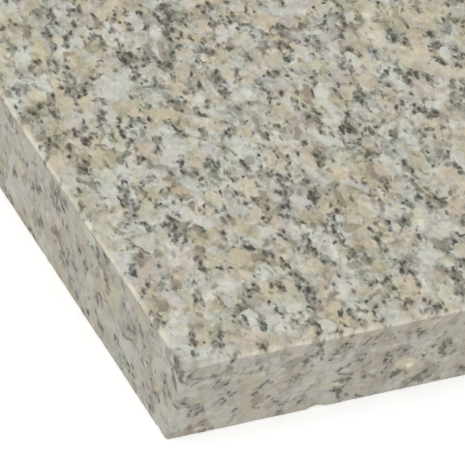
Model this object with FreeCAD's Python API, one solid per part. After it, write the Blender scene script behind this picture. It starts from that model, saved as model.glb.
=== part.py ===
"""Granite slab for leather tooling: one sawn block of granite with a polished working face.

Frame: millimetres, +Z up. The origin is the centre of the underside, so the slab
rests on Z = 0 and its working face is the plane Z = slab_thickness.
The stone is a single piece: nothing is fitted to it, let into it or glued under it.
"""
import FreeCAD, Part

import math
import os

from FreeCAD import Vector

# Driving dimensions, in mm
slab_length = 300.0        # along X
slab_width = 300.0         # along Y
slab_thickness = 30.0      # along Z
top_arris = 1.1            # leg of the 45 degree bevel ground round the working face
upright_arris = 0.9        # leg of the bevel on the four upright corners
base_arris = 0.3           # the underside's edges are only rubbed, to take off the saw burr

half_length = slab_length / 2
half_width = slab_width / 2

# Edge spalls: shallow shell-shaped chips that sawing and handling leave.
# Each is (side, place along that side, level, length along the edge, depth into the corner).
# The place is measured from the middle of the side, along +X or +Y.
spalls = [
    ("front", -half_length + 51.6, "base", 7.4, 0.92),
    ("left", -half_width + 5.3, "base", 4.4, 0.50),
    ("front", 61.0, "base", 6.0, 0.60),
    ("right", -88.0, "base", 9.0, 0.90),
    ("right", 104.0, "top", 5.0, 0.95),
    ("back", 37.0, "base", 7.0, 0.75),
    ("back", -112.0, "top", 5.6, 1.05),
    ("left", 71.0, "base", 6.4, 0.70),
    ("left", 118.0, "top", 4.6, 0.90),
]


def squared_block():
    """The block as the bridge saw leaves it, square on all sides."""
    corner = Vector(-half_length, -half_width, 0)
    return Part.makeBox(slab_length, slab_width, slab_thickness, corner)


def edges_where(shape, keep):
    """The straight edges of shape whose two ends satisfy keep."""
    return [edge for edge in shape.Edges if all(keep(v.Point) for v in edge.Vertexes)]


def upright_edges(shape):
    """The four edges that run up the block's corners."""
    found = []
    for edge in shape.Edges:
        first, last = (v.Point for v in edge.Vertexes)
        if abs(first.z - last.z) > slab_thickness / 2:
            found.append(edge)
    return found


def bevelled(block):
    """Grinds the upright corners, then the rim of the working face and of the underside."""
    tolerance = 1e-6
    block = block.makeChamfer(upright_arris, upright_edges(block))
    rim = edges_where(block, lambda p: abs(p.z - slab_thickness) < tolerance)
    block = block.makeChamfer(top_arris, rim)
    foot = edges_where(block, lambda p: abs(p.z) < tolerance)
    return block.makeChamfer(base_arris, foot)


def edge_point(side, place, level):
    """The point on the square block's edge, and the outward normals of the two faces that meet there."""
    z, up = (0.0, Vector(0, 0, -1)) if level == "base" else (slab_thickness, Vector(0, 0, 1))
    spots = {
        "front": (Vector(place, -half_width, z), Vector(0, -1, 0)),
        "back": (Vector(place, half_width, z), Vector(0, 1, 0)),
        "left": (Vector(-half_length, place, z), Vector(-1, 0, 0)),
        "right": (Vector(half_length, place, z), Vector(1, 0, 0)),
    }
    point, outward = spots[side]
    return point, outward, up


def spall_ball(side, place, level, length, depth):
    """A ball that bites depth deep into the corner, over the given length of the edge."""
    radius = (length * length / 4 + depth * depth) / (2 * depth)
    point, outward, up = edge_point(side, place, level)
    diagonal = (outward + up) * (1 / math.sqrt(2))
    return Part.makeSphere(radius, point + diagonal * (radius - depth))


def granite_slab():
    """The finished stone."""
    stone = bevelled(squared_block())
    for spall in spalls:
        stone = stone.cut(spall_ball(*spall))
    return stone


def main():
    os.makedirs("parts", exist_ok=True)
    stone = granite_slab()
    solid = stone.Solids[0]
    if len(stone.Solids) != 1 or not solid.isValid():
        raise RuntimeError("the stone is not one valid solid")
    solid.exportStep("parts/granite_slab.step")
    box = solid.optimalBoundingBox()
    print("granite_slab", round(box.XLength, 3), round(box.YLength, 3), round(box.ZLength, 3))
    print("volume in cm3", round(solid.Volume / 1000, 2))


main()
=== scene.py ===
import math

import bpy
import numpy as np
from mathutils import Matrix, Vector, geometry, noise


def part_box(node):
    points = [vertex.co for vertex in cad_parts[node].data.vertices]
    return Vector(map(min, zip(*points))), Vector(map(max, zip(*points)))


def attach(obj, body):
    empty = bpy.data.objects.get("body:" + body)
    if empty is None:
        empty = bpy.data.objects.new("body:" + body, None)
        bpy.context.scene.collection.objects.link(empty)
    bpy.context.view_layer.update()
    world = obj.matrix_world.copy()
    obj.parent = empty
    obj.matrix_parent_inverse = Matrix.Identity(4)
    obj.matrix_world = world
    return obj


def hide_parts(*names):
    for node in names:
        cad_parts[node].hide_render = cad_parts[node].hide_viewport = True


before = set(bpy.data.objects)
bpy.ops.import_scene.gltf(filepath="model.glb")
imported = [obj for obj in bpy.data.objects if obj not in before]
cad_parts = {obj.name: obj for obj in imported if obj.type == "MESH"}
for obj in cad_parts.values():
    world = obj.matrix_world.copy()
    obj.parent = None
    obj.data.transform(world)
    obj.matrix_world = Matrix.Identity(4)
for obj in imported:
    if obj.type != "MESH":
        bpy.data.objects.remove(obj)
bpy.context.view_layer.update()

blockLow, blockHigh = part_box("granite_slab")
mm = 0.001
print("frame loaded, slab", [round(v, 4) for v in blockHigh - blockLow])


# one value inside a shader: arithmetic on it adds the Math nodes
class Wire:
    def __init__(self, shader, socket):
        self.shader = shader
        self.socket = socket

    def math(self, operation, *others, clamp=False):
        values = dict(enumerate((self,) + others))
        return self.shader.add("Math", {"operation": operation, "use_clamp": clamp}, values)

    def __add__(self, other):
        return self.math("ADD", other)

    def __sub__(self, other):
        return self.math("SUBTRACT", other)

    def __rsub__(self, other):
        return self.shader.add("Math", {"operation": "SUBTRACT"}, {0: other, 1: self})

    def __mul__(self, other):
        return self.math("MULTIPLY", other)

    __radd__ = __add__
    __rmul__ = __mul__

    def clamped(self):
        return self.math("ADD", 0.0, clamp=True)

    def atLeast(self, other):
        return self.math("MAXIMUM", other)

    # 0 below low, 1 above high, a soft shoulder between
    def rise(self, low, high):
        return self.shader.shoulder(self, low, high, 0.0, 1.0)

    def fall(self, low, high):
        return self.shader.shoulder(self, low, high, 1.0, 0.0)


class Shader:
    def __init__(self, name):
        self.material = bpy.data.materials.new(name)
        self.material.use_nodes = True
        self.tree = self.material.node_tree
        self.tree.nodes.clear()

    # a node of any type: its settings first, then values or links for its sockets
    def add(self, kind, settings=None, values=None, out=0):
        node = self.tree.nodes.new("ShaderNode" + kind)
        for name, setting in (settings or {}).items():
            if name == "stops":
                self.setStops(node.color_ramp, setting)
            else:
                setattr(node, name, setting)
        for key, value in (values or {}).items():
            socket = node.inputs[key]
            if isinstance(value, Wire):
                self.tree.links.new(value.socket, socket)
            else:
                socket.default_value = value
        if isinstance(out, tuple):
            return [Wire(self, node.outputs[name]) for name in out]
        return Wire(self, node.outputs[out])

    def setStops(self, colourRamp, stops):
        while len(colourRamp.elements) < len(stops):
            colourRamp.elements.new(0.5)
        for element, (position, colour) in zip(colourRamp.elements, stops):
            element.position = position
            element.color = colour

    def ramp(self, value, stops):
        return self.add("ValToRGB", {"stops": stops}, {0: value})

    def shoulder(self, value, low, high, atLow, atHigh):
        ends = {0: value, 1: low, 2: high, 3: atLow, 4: atHigh}
        return self.add("MapRange", {"interpolation_type": "SMOOTHSTEP"}, ends)

    def blend(self, share, under, over):
        return self.add("Mix", {"data_type": "RGBA"}, {0: share, 6: under, 7: over}, out=2)

    def vector(self, operation, *values, scale=None):
        sockets = dict(enumerate(values))
        if scale is not None:
            sockets["Scale"] = scale
        return self.add("VectorMath", {"operation": operation}, sockets)

    # cloudy noise whose blotches are about that many millimetres across
    def cloud(self, place, size, detail=2.0, roughness=0.5, out="Fac"):
        values = {"Vector": place, "Scale": 1.0 / size, "Detail": detail, "Roughness": roughness}
        return self.add("TexNoise", None, values, out=out)

    # a mosaic of grains about that many millimetres across, with melted borders:
    # the way out from a grain's middle, and three random shares for every grain
    def meltedGrains(self, place, size, melt):
        values = {"Vector": place, "Scale": 1.0 / size, "Smoothness": melt, "Randomness": 1.0}
        reach, mosaic = self.add("TexVoronoi", {"feature": "SMOOTH_F1"}, values, out=("Distance", "Color"))
        return [reach] + self.add("SeparateColor", None, {0: mosaic}, out=("Red", "Green", "Blue"))

    # the way out from the middle of a ball or an egg, 1 at its skin
    def wayOut(self, place, middle, halfSize):
        values = {"Vector": place, "Location": middle, "Scale": halfSize}
        inside = self.add("Mapping", {"vector_type": "TEXTURE"}, values)
        return self.add("VectorMath", {"operation": "LENGTH"}, {0: inside}, out="Value")

    # pushes places about by up to that many millimetres, so that outlines go ragged
    def ragged(self, place, size, push, detail=1.0):
        shake = self.cloud(place, size, detail, out="Color")
        centred = self.vector("SUBTRACT", shake, (0.5, 0.5, 0.5))
        return self.vector("ADD", place, self.vector("SCALE", centred, scale=push * 2.0))

    def finish(self, surface):
        output = self.tree.nodes.new("ShaderNodeOutputMaterial")
        self.tree.links.new(surface.socket, output.inputs["Surface"])
        return self.material


# a colour as a picker shows it, 0 to 255, turned to linear light
def tint(red, green, blue):
    shares = [channel / 255.0 for channel in (red, green, blue)]
    linear = [s / 12.92 if s <= 0.04045 else ((s + 0.055) / 1.055) ** 2.4 for s in shares]
    return (*linear, 1.0)


# the camera looks down on the near corner and its three faces;
# places in metres, roll in degrees, lens in millimetres
cameraSet = {
    "place": (-0.74563, -0.95241, 0.91382),
    "aim": (-0.10775, -0.09960, 0.03000),
    "roll": 14.449,
    "lens": 351.43,
}


def makeCamera():
    lens = bpy.data.cameras.new("slabCamera")
    lens.lens = cameraSet["lens"]
    lens.sensor_width = 36.0
    lens.clip_start = 0.05
    lens.clip_end = 60.0
    camera = bpy.data.objects.new("slabCamera", lens)
    place = Vector(cameraSet["place"])
    level = (Vector(cameraSet["aim"]) - place).to_track_quat("-Z", "Y").to_matrix().to_4x4()
    turn = Matrix.Rotation(math.radians(cameraSet["roll"]), 4, "Z")
    camera.matrix_world = Matrix.Translation(place) @ level @ turn
    bpy.context.scene.collection.objects.link(camera)
    bpy.context.scene.camera = camera


# the room, the paper floor and two lamps; metres and watts
studioSet = {
    "roomGlow": 0.70,
    "floorReach": 14.0,
    "floorSpokes": 96,
    "floorLift": 1.2,        # how high the paper curls up at its far rim
    "floorTint": (244, 244, 244),
    "floorGlow": 0.34,
    "lamps": (
        # name, place, width, height, watts, tint
        ("topSoftbox", (-0.9, -0.3, 2.4), 1.8, 1.8, 12.0, (255, 255, 255)),
        ("leftSoftbox", (-2.4, -0.9, 1.0), 1.6, 1.2, 3.3, (232, 245, 255)),
    ),
}


def makeStudio():
    world = bpy.data.worlds.new("whiteRoom")
    bpy.context.scene.world = world
    world.use_nodes = True
    background = world.node_tree.nodes["Background"]
    background.inputs["Color"].default_value = (1.0, 1.0, 1.0, 1.0)
    background.inputs["Strength"].default_value = studioSet["roomGlow"]
    bpy.context.scene.view_settings.view_transform = "Standard"
    for name, place, width, height, watts, glow in studioSet["lamps"]:
        lamp = bpy.data.lights.new(name, "AREA")
        lamp.color = tint(*glow)[:3]
        lamp.shape = "RECTANGLE"
        lamp.size = width
        lamp.size_y = height
        lamp.energy = watts
        holder = bpy.data.objects.new(name, lamp)
        holder.location = place
        holder.rotation_euler = (-Vector(place)).to_track_quat("-Z", "Y").to_euler()
        holder.visible_camera = False
        bpy.context.scene.collection.objects.link(holder)
    # a round sheet of white paper whose rim curls up, so that no horizon shows behind the slab
    reach, lift, spokes = studioSet["floorReach"], studioSet["floorLift"], studioSet["floorSpokes"]
    curl = [math.radians(angle) for angle in range(0, 91, 15)]
    profile = [(reach + lift * math.sin(a), lift * (1.0 - math.cos(a))) for a in curl]
    turns = [math.tau * i / spokes for i in range(spokes)]
    corners = [(r * math.cos(t), r * math.sin(t), height) for r, height in profile for t in turns]
    patches = [list(range(spokes))]
    for j in range(len(profile) - 1):
        for i in range(spokes):
            beside = (i + 1) % spokes
            here, outer = j * spokes, (j + 1) * spokes
            patches.append([here + i, here + beside, outer + beside, outer + i])
    sheet = bpy.data.meshes.new("studioFloor")
    sheet.from_pydata(corners, [], patches)
    floor = bpy.data.objects.new("studioFloor", sheet)
    bpy.context.scene.collection.objects.link(floor)
    shader = Shader("whiteFloor")
    surface = shader.add("BsdfPrincipled", None, {
        "Base Color": tint(*studioSet["floorTint"]),
        "Roughness": 0.9,
        "Emission Color": (1.0, 1.0, 1.0, 1.0),
        "Emission Strength": studioSet["floorGlow"],
    })
    sheet.materials.append(shader.finish(surface))


# the slab; sizes in millimetres
slabSet = {
    "topArris": 1.1,          # the ground band round the working face
    "uprightArris": 1.3,      # rounding of the four upright corners
    "baseArris": 0.3,
    "spacing": 1.0,           # between points along a side
    "fineSpacing": 0.35,      # the same beside a chip
    "faceGrid": 11.0,         # between points inside the working face
    "baseGrid": 14.0,         # and inside the underside
    "bandWander": 0.32,       # how unevenly the band was ground
    "faceFade": (0.0, 0.0, 0.06, 0.18, 0.32, 0.40, 0.44),  # frost that runs in over the face, with a painted sheen of highlight
    "bandFade": (0.55, 0.85, 1.0, 1.0, 0.85),  # how frosted it is, from the face outwards; the frost is partly a painted sheen of highlight
    "wornCorner": 0.7,        # extra width of the band at the near left corner
    "wornReach": 9.0,
    "sawDepth": 0.045,
    "sawPitch": 1.7,
    "hollowDepth": 0.10,      # shallow unevenness of a sawn side
    "pitDepth": 0.16,         # where single grains came out
}

# small chips: side, place along it from the middle, edge, length, depth into the corner
chips = (
    ("front", -98.4, "base", 7.4, 0.92),
    ("left", -144.7, "base", 4.4, 0.50),
    ("front", 61.0, "base", 6.0, 0.60),
    ("right", -88.0, "base", 9.0, 0.90),
    ("right", 104.0, "top", 5.0, 0.95),
    ("back", 37.0, "base", 7.0, 0.75),
    ("back", -112.0, "top", 5.6, 1.05),
    ("left", 71.0, "base", 6.4, 0.70),
    ("left", 118.0, "top", 4.6, 0.90),
)

# crystals torn out of the sawn sides: side, place along it, height, length, height, depth, and strength of
# the painted glint (a highlight painted into the colour)
plucks = (
    ("front", -69.2, 11.2, 9.4, 5.2, 0.50, 0.8),
    ("front", -93.2, 8.3, 3.8, 2.6, 0.40, 0.7),
    ("front", -138.6, 1.9, 5.6, 1.3, 0.30, 0.0),
    ("front", 24.0, 19.0, 4.4, 2.4, 0.40, 0.6),
    ("left", -61.0, 14.0, 3.4, 2.2, 0.35, 0.0),
    ("left", 42.0, 9.0, 5.0, 2.6, 0.45, 0.7),
    ("right", -40.0, 17.0, 4.6, 2.4, 0.40, 0.0),
    ("right", 83.0, 8.5, 3.2, 2.0, 0.35, 0.8),
    ("back", 70.0, 13.0, 5.6, 2.6, 0.45, 0.6),
    ("back", -35.0, 20.0, 3.0, 1.8, 0.35, 0.0),
)

# outward direction and the direction the sides run round the slab
sides = {
    "front": ((0, -1), (1, 0)),
    "right": ((1, 0), (0, 1)),
    "back": ((0, 1), (-1, 0)),
    "left": ((-1, 0), (0, -1)),
}


# where along a side the points of the outline stand, closer together beside a chip
def placesAlong(side, halfSide):
    run = sides[side][1]
    sign = sum(run)
    spots = [(sign * place, length) for name, place, edge, length, depth in chips if name == side]
    spots += [(sign * pluck[1], pluck[3]) for pluck in plucks if pluck[0] == side]
    places = [-halfSide]
    while places[-1] < halfSide:
        here = places[-1]
        near = any(abs(here - spot) < length * 0.7 + 0.6 for spot, length in spots)
        places.append(here + (slabSet["fineSpacing"] if near else slabSet["spacing"]))
    return np.array(places) * halfSide / places[-1]


# the outline as anchors in -1..1 and outward directions:
# straight runs, then a quarter turn at each corner
def outline(halfLength, halfWidth):
    anchors, outwards = [], []
    turnSteps = 5
    for side, (out, run) in sides.items():
        halfSide = halfLength if run[0] else halfWidth
        for place in placesAlong(side, halfSide - slabSet["uprightArris"]):
            share = place / (halfSide - slabSet["uprightArris"])
            anchors.append((out[0] + run[0] * share, out[1] + run[1] * share))
            outwards.append(out)
        for step in range(1, turnSteps):
            angle = math.radians(90.0 * step / turnSteps)
            anchors.append((out[0] + run[0], out[1] + run[1]))
            outwards.append(tuple(o * math.cos(angle) + r * math.sin(angle) for o, r in zip(out, run)))
    return np.array(anchors, float), np.array(outwards, float)


# smooth noise round the outline, -1 to 1
def wander(points, size, seed):
    values = [noise.noise(Vector((x / size, y / size, seed))) for x, y in points]
    return np.array(values)


# steps that are fine at both edges and coarser between
def sideSteps(tall):
    fine = [0.18, 0.40, 0.70, 1.05, 1.5, 2.05, 2.7, 3.45]
    middle = np.arange(4.3, tall - 3.45, 0.92)
    return [0.0] + fine + list(middle) + [tall - f for f in reversed(fine)] + [tall]


# rings of points round the slab, from inside the working face down to inside the underside
def slabPoints():
    half = (blockHigh - blockLow) / 2 / mm
    thick = half.z * 2
    anchors, outwards = outline(half.x, half.y)
    count = len(anchors)

    def ring(inset, height):
        inset = np.broadcast_to(inset, count)
        corner = np.maximum(slabSet["uprightArris"] - inset, 0.05)
        x = anchors[:, 0] * (half.x - inset - corner) + outwards[:, 0] * corner
        y = anchors[:, 1] * (half.y - inset - corner) + outwards[:, 1] * corner
        return np.stack([x, y, np.broadcast_to(height, count)], 1)

    plan = ring(0.0, 0.0)[:, :2]
    uneven = wander(plan, 9.0, 3.1) * 0.7 + wander(plan, 2.3, 8.7) * 0.5
    # small bites out of the band, stronger along the left edge
    strength = np.where(outwards[:, 0] < -0.5, 4.0, 2.2)
    bites = np.minimum(np.maximum(wander(plan, 2.9, 21.0) - 0.26, 0.0) * strength, 1.0)
    cornerGap = np.hypot(plan[:, 0] + half.x, plan[:, 1] + half.y)
    worn = slabSet["wornCorner"] * np.exp(-(cornerGap / slabSet["wornReach"]) ** 2)
    top = slabSet["topArris"] + slabSet["bandWander"] * uneven + bites + worn
    drop = slabSet["topArris"] + slabSet["bandWander"] * (wander(plan, 6.0, 5.5) * 0.8)
    drop = drop + bites * 0.7 + worn * 0.8
    foot = slabSet["baseArris"] * (1.0 + 0.5 * wander(plan, 4.0, 14.0)) + bites * 0.25

    rings, regions = [], []
    # the polished face: a few rings inside its edge
    for inner in (3.4, 2.2, 1.3, 0.65, 0.25, 0.06, 0.0):
        rings.append(ring(top + inner, thick))
        regions.append("face")
    # the ground band, flat with its two lips just turned
    for across, down in ((0.90, 0.04), (0.72, 0.22), (0.5, 0.46), (0.27, 0.72), (0.06, 0.93)):
        rings.append(ring(top * across, thick - drop * down))
        regions.append("band")
    tall = thick - drop - foot
    whole = float(thick - slabSet["topArris"] - slabSet["baseArris"])
    for step in sideSteps(whole):
        rings.append(ring(0.0, thick - drop - tall * step / whole))
        regions.append("side")
    for across in (0.35, 0.7, 1.0):
        rings.append(ring(foot * across, foot * (1.0 - across)))
        regions.append("foot")
    for inner in (0.4, 1.0, 1.8, 3.0):
        rings.append(ring(foot + inner, 0.0))
        regions.append("under")
    return np.array(rings), regions, outwards, half, worn / slabSet["wornCorner"]


# how deep the saw and the torn grains go at a place on a side
def sawnDepth(point, along):
    x, y, z = point
    tilt = z + 0.02 * along + 0.9 * noise.noise(Vector((along / 60.0, z / 25.0, 2.0)))
    line = noise.noise(Vector((tilt / slabSet["sawPitch"], along / 90.0, 5.0)))
    fineLine = noise.noise(Vector((tilt / 0.62, along / 45.0, 9.0)))
    broad = noise.noise(Vector((x / 21.0, y / 21.0, z / 13.0)))
    grain = noise.noise(Vector((x / 1.7, y / 1.7, z / 1.4)))
    pit = max(0.0, grain - 0.42) / 0.4
    depth = slabSet["sawDepth"] * (0.7 * (line + 0.5) + 0.3 * (fineLine + 0.5))
    return depth + slabSet["hollowDepth"] * (broad + 0.5) * 0.5 + slabSet["pitDepth"] * min(pit, 1.0)


# the ball that bites a chip out of an edge: centre and radius
def chipBall(chip, half):
    side, place, edge, length, depth = chip
    out, run = sides[side]
    radius = (length * length / 4 + depth * depth) / (2 * depth)
    level = 0.0 if edge == "base" else half.z * 2
    upward = -1.0 if edge == "base" else 1.0
    if out[0]:
        corner = Vector((out[0] * half.x, place, level))
    else:
        corner = Vector((place, out[1] * half.y, level))
    slope = Vector((out[0], out[1], upward)).normalized()
    return corner + slope * (radius - depth), radius


# saw lines, pits, torn crystals and chips; also says how freshly broken each point is, and where a glint
# is painted in as painted highlight
def carveSlab(rings, regions, outwards, half):
    levels, count = rings.shape[:2]
    broken = np.zeros((levels, count))
    for j, region in enumerate(regions):
        if region not in ("side", "foot"):
            continue
        for k in range(count):
            point = rings[j, k]
            out = outwards[k]
            along = point[0] * -out[1] + point[1] * out[0]
            ease = 1.0 if region == "side" else 0.6
            ends = min(1.0, abs(regions.index("side") - j) / 3.0)
            depth = sawnDepth(point, along) * ease * ends
            rings[j, k, 0] -= out[0] * depth
            rings[j, k, 1] -= out[1] * depth
    # torn crystals: shallow stepped dishes
    for side, place, height, long, tall, deep, paintedGlint in plucks:
        out = np.array(sides[side][0], float)
        axis = 0 if out[1] else 1
        onSide = (outwards @ out > 0.99)[None, :] & (np.abs(rings[:, :, 1 - axis]) > half.x - 2.0)
        u = (rings[:, :, axis] - place) / (long / 2)
        v = (rings[:, :, 2] - height) / (tall / 2)
        lean = v + 0.35 * u
        ragged = np.array([[noise.noise(Vector((a * 1.6, b * 1.6, place))) for a, b in zip(ru, rv)]
                           if np.any((abs(ru) < 2) & (abs(rv) < 2)) else np.zeros(count)
                           for ru, rv in zip(u, v)])
        span = np.sqrt(u * u + lean * lean) + 0.35 * ragged
        dish = np.clip((1.0 - span) / 0.35, 0.0, 1.0) * onSide
        step = 0.65 + 0.35 * (u * 0.8 + lean * 0.5 > 0.1)
        for axisIndex in (0, 1):
            rings[:, :, axisIndex] -= out[axisIndex] * dish * deep * step
        # painted highlight: a white glint is painted where a fresh crystal face would catch the light, low
        # at one end of the dish
        highlightSpot = np.hypot((u - 0.42) / 0.24, (lean + 0.40) / 0.36) + 0.8 * ragged
        broken = np.maximum(broken, dish + paintedGlint * np.clip((1.0 - highlightSpot) / 0.4, 0.0, 1.0) * onSide)
    # chips: every point inside the ball moves out to its surface
    for chip in chips:
        centre, radius = chipBall(chip, half)
        away = rings - np.array(centre)
        gap = np.linalg.norm(away, axis=2)
        for j, k in zip(*np.nonzero(gap < radius)):
            point = Vector(rings[j, k])
            shell = noise.noise(point / 1.1) * 0.10 + noise.noise(point / 0.5) * 0.04
            reach = min(radius - gap[j, k], 1.0)
            outTo = radius + shell * min(1.0, reach * 3.0)
            rings[j, k] = np.array(centre) + away[j, k] / gap[j, k] * outTo
            broken[j, k] = max(broken[j, k], min(1.0, reach * 5.0))
    rings[:, :, 2] = np.clip(rings[:, :, 2], 0.0, half.z * 2)
    return rings, broken


# fills the flat inside a ring with even triangles
def fillFlat(points, loop, height, gridStep, faceUp):
    edge = [Vector(points[i][:2]) for i in loop]
    half = max(abs(v.x) for v in edge)
    steps = int((half - gridStep * 0.6) // gridStep)
    line = range(-steps, steps + 1)
    spots = [Vector((i * gridStep, j * gridStep)) for i in line for j in line]
    rim = [(i, (i + 1) % len(edge)) for i in range(len(edge))]
    made = geometry.delaunay_2d_cdt(edge + spots, rim, [], 1, 1e-6)
    places, triangles, sources = made[0], made[2], made[3]
    index = []
    for place, source in zip(places, sources):
        if source and source[0] < len(edge):
            index.append(loop[source[0]])
        else:
            points.append((place.x, place.y, height))
            index.append(len(points) - 1)
    faces = [[index[i] for i in triangle] for triangle in triangles]
    return [face if faceUp else face[::-1] for face in faces]


# the whole slab as one mesh: rings from the face down to the underside, and two flats
def makeSlab():
    rings, regions, outwards, half, worn = slabPoints()
    rings, broken = carveSlab(rings, regions, outwards, half)
    levels, count = rings.shape[:2]
    points = [tuple(p) for p in rings.reshape(-1, 3)]
    faces = []
    for j in range(levels - 1):
        for k in range(count):
            following = (k + 1) % count
            here, under = j * count, (j + 1) * count
            faces.append((here + k, under + k, under + following, here + following))
    faces += fillFlat(points, list(range(count)), half.z * 2, slabSet["faceGrid"], True)
    last = (levels - 1) * count
    faces += fillFlat(points, list(range(last, last + count)), 0.0, slabSet["baseGrid"], False)

    mesh = bpy.data.meshes.new("graniteSlab")
    middle = (blockLow + blockHigh) / 2
    shift = Vector((middle.x, middle.y, blockLow.z))
    mesh.from_pydata([Vector(p) * mm + shift for p in points], [], faces)
    mesh.validate()
    mesh.shade_smooth()
    band = [j for j, region in enumerate(regions) if region == "band"]
    ground = np.zeros((levels, count))
    ground[band] = np.outer(slabSet["bandFade"], 1.0 - 0.8 * worn)
    ground[:len(slabSet["faceFade"])] = np.outer(slabSet["faceFade"], 1.0 - 0.5 * worn)
    # how polished, how frosted and how freshly broken the stone is at each point; the frost also carries a
    # painted sheen of highlight, and the broken mask also marks where a painted glint highlight goes
    masks = {
        "polished": np.repeat([float(r == "face") for r in regions], count),
        "ground": ground.reshape(-1),
        "broken": broken.reshape(-1),
    }
    extra = len(points) - levels * count
    topExtra = sum(1 for p in points[levels * count:] if p[2] > half.z)
    for name, values in masks.items():
        filled = np.concatenate([values, np.zeros(extra)])
        if name == "polished":
            filled[levels * count:levels * count + topExtra] = 1.0
        mesh.attributes.new(name, "FLOAT", "POINT").data.foreach_set("value", filled.astype(np.float32))
    slab = bpy.data.objects.new("graniteSlab", mesh)
    bpy.context.scene.collection.objects.link(slab)
    print("slab mesh:", len(points), "points,", len(faces), "faces")
    return slab


# the stone; sizes are in millimetres
stoneSet = {
    "lie": 66.0,               # degrees round from +X that the grain runs
    "climb": 25.0,             # degrees that it rises on the way
    "pull": (1.5, 1.08, 0.97),  # how far it is drawn out along, across and upright
    "feldsparSize": 5.2,
    "crumbSize": 1.9,          # the small grains between the feldspars
    "patchSize": 8.0,          # the large clean crystals
    "patchShift": (61.0, 5.0, 23.0),  # another shift deals them out afresh
    "flakeSizes": (3.1, 2.5, 1.9),
    "micaShare": 0.245,        # more of it makes a darker stone
    "relief": 0.12,            # height of the finest roughness of sawn stone
    # middle from the near left corner, and half size
    "knot": ((8.5, 0.0, 26.4), (6.0, 2.3, 2.3)),
    "knotLine": ((10.0, 0.0, 25.4), (7.25, 2.5, 2.5)),
    # colours as a picker shows them, the feldspars from white to ochre
    "feldspars": (
        (0.0, (203, 203, 195)),
        (0.22, (205, 204, 192)),
        (0.42, (205, 202, 187)),
        (0.62, (203, 197, 180)),
        (0.82, (200, 192, 169)),
        (1.0, (197, 187, 159)),
    ),
    "cream": (206, 194, 167),
    "white": (210, 209, 200),
    "greenQuartz": (134, 130, 107),
    "brownQuartz": (144, 128, 112),
    "greyQuartz": (126, 128, 114),
    "greenMica": (40, 47, 44),
    "rustyMica": (66, 56, 43),
    "knotTint": (170, 166, 150),
    "knotLineTint": (112, 98, 90),
    "torn": (208, 200, 172),
    # painted highlight: the white of the glint painted on torn crystals
    "paintedGlint": (246, 243, 232),
    # dust of sawn stone, darker than the stone: partly painted shade on the sawn sides
    "coolDustAndShade": (143, 143, 134),
    "warmDustAndShade": (155, 145, 138),
    # frost of the ground band, paler than the stone: partly a painted sheen of highlight
    "bandFrostAndSheen": (226, 218, 200),
}


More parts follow.
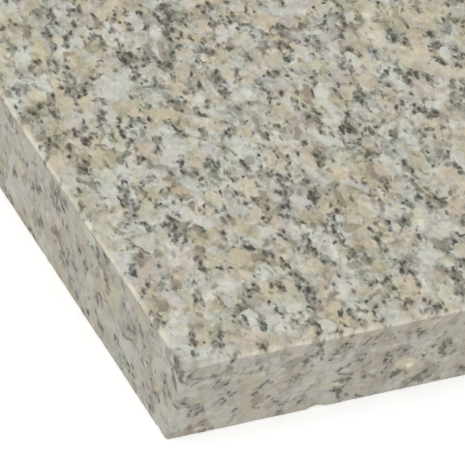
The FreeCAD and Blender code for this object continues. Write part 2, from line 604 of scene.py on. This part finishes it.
# clouds that should not copy each other read places shifted by a few odd millimetres
def graniteStone():
    s = Shader("polishedGranite")
    place = s.add("TexCoord", None, None, out="Object")
    place = s.vector("SCALE", place, scale=1.0 / mm)
    lie = math.radians(stoneSet["lie"])
    climb = math.radians(stoneSet["climb"])
    drawn = s.add("Mapping", {"vector_type": "TEXTURE"}, {
        "Vector": place, "Rotation": (0.0, -climb, lie), "Scale": stoneSet["pull"]})
    loose = s.ragged(drawn, 3.6, 1.3, 1.5)
    crinkled = s.ragged(loose, 1.3, 0.30, 1.0)
    polished = s.add("Attribute", {"attribute_name": "polished"}, None, out="Fac")
    ground = s.add("Attribute", {"attribute_name": "ground"}, None, out="Fac")
    broken = s.add("Attribute", {"attribute_name": "broken"}, None, out="Fac")
    rough = (1.0 - polished) * (1.0 - ground)

    # large clean crystals, cream at one end of a slow cloud and white at the other
    spread = s.cloud(s.vector("ADD", loose, stoneSet["patchShift"]), stoneSet["patchSize"], 1.0)
    cream = spread.rise(0.60, 0.67)
    white = spread.fall(0.33, 0.40)
    clean = cream.atLeast(white)
    taupe = s.cloud(s.vector("ADD", loose, (27.0, 9.0, 51.0)), 5.5, 1.0).rise(0.64, 0.71)

    # broad drift of the mix through the block, in long streaks
    streaked = s.add("Mapping", {"vector_type": "TEXTURE"}, {
        "Vector": place, "Rotation": (0.0, -climb, lie + math.radians(8.0)), "Scale": (1.95, 0.9, 0.9)})
    drift = s.cloud(streaked, 11.0, 1.0)
    swarm = s.cloud(streaked, 6.0, 2.0)

    # pale ground: white feldspar with cream feldspar in clouds
    border, kind, shade, hue = s.meltedGrains(crinkled, stoneSet["feldsparSize"], 0.35)
    crumbWarm, crumbShade, crumbHue = s.meltedGrains(crinkled, stoneSet["crumbSize"], 0.5)[1:]
    creamy = s.cloud(loose, 7.6, 1.5, 0.5)
    warm = (creamy - 0.5) * 2.5 + (kind - 0.5) * 0.50 + (drift - 0.5) * 1.0
    warm = warm + (crumbWarm - 0.5) * 0.15 + 0.55
    pale = s.ramp(warm.clamped(), [(stop, tint(*colour)) for stop, colour in stoneSet["feldspars"]])
    pale = s.blend(cream * 0.70, pale, tint(*stoneSet["cream"]))
    pale = s.blend(white * 0.86, pale, tint(*stoneSet["white"]))
    milk = s.cloud(crinkled, 1.6, 2.0, 0.5)
    light = (shade - 0.5) * 0.30 + (crumbShade - 0.5) * 0.26 + (milk - 0.5) * 0.8
    light = light * (1.0 - clean * 0.35) + 1.0
    blush = (hue - 0.5) * 0.038 + (crumbHue - 0.5) * 0.022
    cast = s.add("CombineXYZ", None, {
        0: light * (1.0 + blush), 1: light * (1.0 - blush), 2: light * (1.0 + blush * 0.6)})
    stone = s.vector("MULTIPLY", pale, cast)

    # smoky quartz between them
    quartz = s.cloud(crinkled, 3.3, 2.0, 0.5)
    smoky = quartz + (swarm - 0.5) * 0.45 + (border - 0.45) * 0.12 + taupe * 0.17 + (milk - 0.5) * 0.15
    smoky = smoky.rise(0.515, 0.74) * (1.0 - clean)
    smoky = smoky.atLeast(taupe * (quartz * 0.6 + crumbShade * 0.3 + 0.42))
    smoke = (s.cloud(s.vector("ADD", loose, (5.0, 43.0, 11.0)), 3.6, 1.0) - 0.5) * 3.0 + 0.5 + taupe * 0.3
    smokeTint = s.blend(smoke.clamped(), tint(*stoneSet["greenQuartz"]), tint(*stoneSet["brownQuartz"]))
    stone = s.blend(smoky * 0.80, stone, smokeTint)
    glassy = s.cloud(s.vector("ADD", crinkled, (31.0, 7.0, 19.0)), 2.8, 2.0, 0.5)
    grey = (glassy + (0.5 - drift) * 0.3 + (swarm - 0.5) * 0.6).rise(0.52, 0.72) * (1.0 - clean)
    stone = s.blend(grey * 0.66, stone, tint(*stoneSet["greyQuartz"]))

    # sawn stone is hazed over by its own dust and scratches, thicker along the saw's lines; the dust is
    # darker than the stone, so it is partly painted shade on the sawn sides
    sawn = s.add("Mapping", {"vector_type": "TEXTURE"}, {"Vector": place, "Scale": (24.0, 24.0, 1.1)})
    scratches = s.cloud(sawn, 1.0, 2.0, 0.6)
    dustShadeShare = 0.56 + (scratches - 0.5) * 0.45
    flush = (s.cloud(drawn, 6.5, 1.0) - 0.5) * 1.7 + 0.5
    dustAndShade = s.blend(flush.clamped(), tint(*stoneSet["coolDustAndShade"]), tint(*stoneSet["warmDustAndShade"]))
    stone = s.blend(rough * dustShadeShare, stone, dustAndShade)
    # the ground band is painted paler than the stone: frost of ground stone and partly a painted sheen of
    # highlight
    frostAndSheen = s.cloud(place, 5.5, 2.0, 0.6)
    stone = s.blend(ground * (0.55 + (frostAndSheen - 0.5) * 2.4).clamped(), stone, tint(*stoneSet["bandFrostAndSheen"]))

    # dark mica: short flakes that lie three ways, and strings of it along the seams
    crowd = (swarm - 0.5) * (3.6 - rough * 0.1) + (0.5 - drift) * 0.9 + (border - 0.45) * 0.55
    crowd = (crowd + stoneSet["micaShare"] - rough * 0.12 - clean * 0.42).clamped()
    shaken = s.ragged(drawn, 2.1, 0.95, 1.5)
    dark = None
    for turn, dip, seed, size in zip((0.0, 46.0, -40.0), (20.0, -25.0, 60.0), (3.0, 17.0, 41.0),
                                     stoneSet["flakeSizes"]):
        turned = s.add("Mapping", {"vector_type": "TEXTURE"}, {
            "Vector": shaken,
            "Location": (seed, seed * 0.7, seed * 1.3),
            "Rotation": (math.radians(dip), 0.0, math.radians(turn)),
            "Scale": (1.55, 0.76, 1.05),
        })
        reach, tone = s.add("TexVoronoi", {"feature": "F1"}, {
            "Vector": turned, "Scale": 1.0 / size, "Randomness": 1.0}, out=("Distance", "Color"))
        pick, depth = s.add("SeparateColor", None, {0: tone}, out=("Red", "Green"))
        frayed = reach + (milk - 0.5) * 0.35 + rough * 0.07
        flake = frayed.fall(0.04, 0.56) * (crowd - pick).rise(-0.06, 0.12) * (0.82 + depth * 0.5)
        dark = flake if dark is None else dark.atLeast(flake)
    seam = s.cloud(crinkled, 5.2, 1.0)
    string = (seam - 0.5).math("ABSOLUTE").fall(0.01, 0.11)
    breaks = s.cloud(s.vector("ADD", drawn, (13.0, 29.0, 5.0)), 2.2, 1.0)
    string = string * (breaks + (swarm - 0.5) * 0.9 - clean * 0.12).rise(0.56, 0.72)
    dark = dark.atLeast(string * 0.74).clamped() * (1.0 - ground * 0.35)
    rust = (s.cloud(s.vector("ADD", loose, (17.0, 3.0, 37.0)), 4.2, 1.0) - 0.5) * 3.0 + 0.5
    mica = s.blend(rust.clamped(), tint(*stoneSet["greenMica"]), tint(*stoneSet["rustyMica"]))
    stone = s.blend(dark * (0.94 - rough * 0.06), stone, mica)

    # the smooth crystal under the face's edge at the near corner, with a dark line below it
    fromCorner = s.vector("SUBTRACT", place, tuple(blockLow / mm))
    fray = (s.cloud(place, 3.4, 2.5) - 0.5) * 0.4
    knot = s.wayOut(fromCorner, *stoneSet["knot"]) + fray
    knotLine = s.wayOut(fromCorner, *stoneSet["knotLine"]) + fray
    knotLine = knot.rise(0.96, 1.08) * knotLine.fall(0.92, 1.08)
    stone = s.blend(knot.fall(0.70, 1.06) * 0.6, stone, tint(*stoneSet["knotTint"]))
    stone = s.blend(knotLine * (0.3 + crumbShade * 0.5), stone, tint(*stoneSet["knotLineTint"]))

    # torn crystals are clean, paler stone, and on one face in them a white glint is painted: painted
    # highlight
    stone = s.blend(broken.clamped() * 0.72, stone, tint(*stoneSet["torn"]))
    stone = s.blend((broken - 1.0).clamped(), stone, tint(*stoneSet["paintedGlint"]))

    fine = s.cloud(place, 0.45, 3.0, 0.6)
    height = (fine * 0.6 + milk * 0.4) * (1.0 - polished * 0.96)
    relief = stoneSet["relief"] * mm
    bump = s.add("Bump", None, {"Strength": 0.35, "Distance": relief, "Height": height})
    surface = s.add("BsdfPrincipled", None, {
        "Base Color": stone,
        "Roughness": 0.78 - polished * 0.56 - ground * (1.0 - polished) * 0.2 + (milk - 0.5) * 0.12,
        "Normal": bump,
        "IOR": 1.5,
    })
    return s.finish(surface)


makeCamera()
makeStudio()
print("camera and studio set")

slab = makeSlab()
slab.data.materials.append(graniteStone())
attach(slab, "root")
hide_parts("granite_slab")
print("stone finish applied")
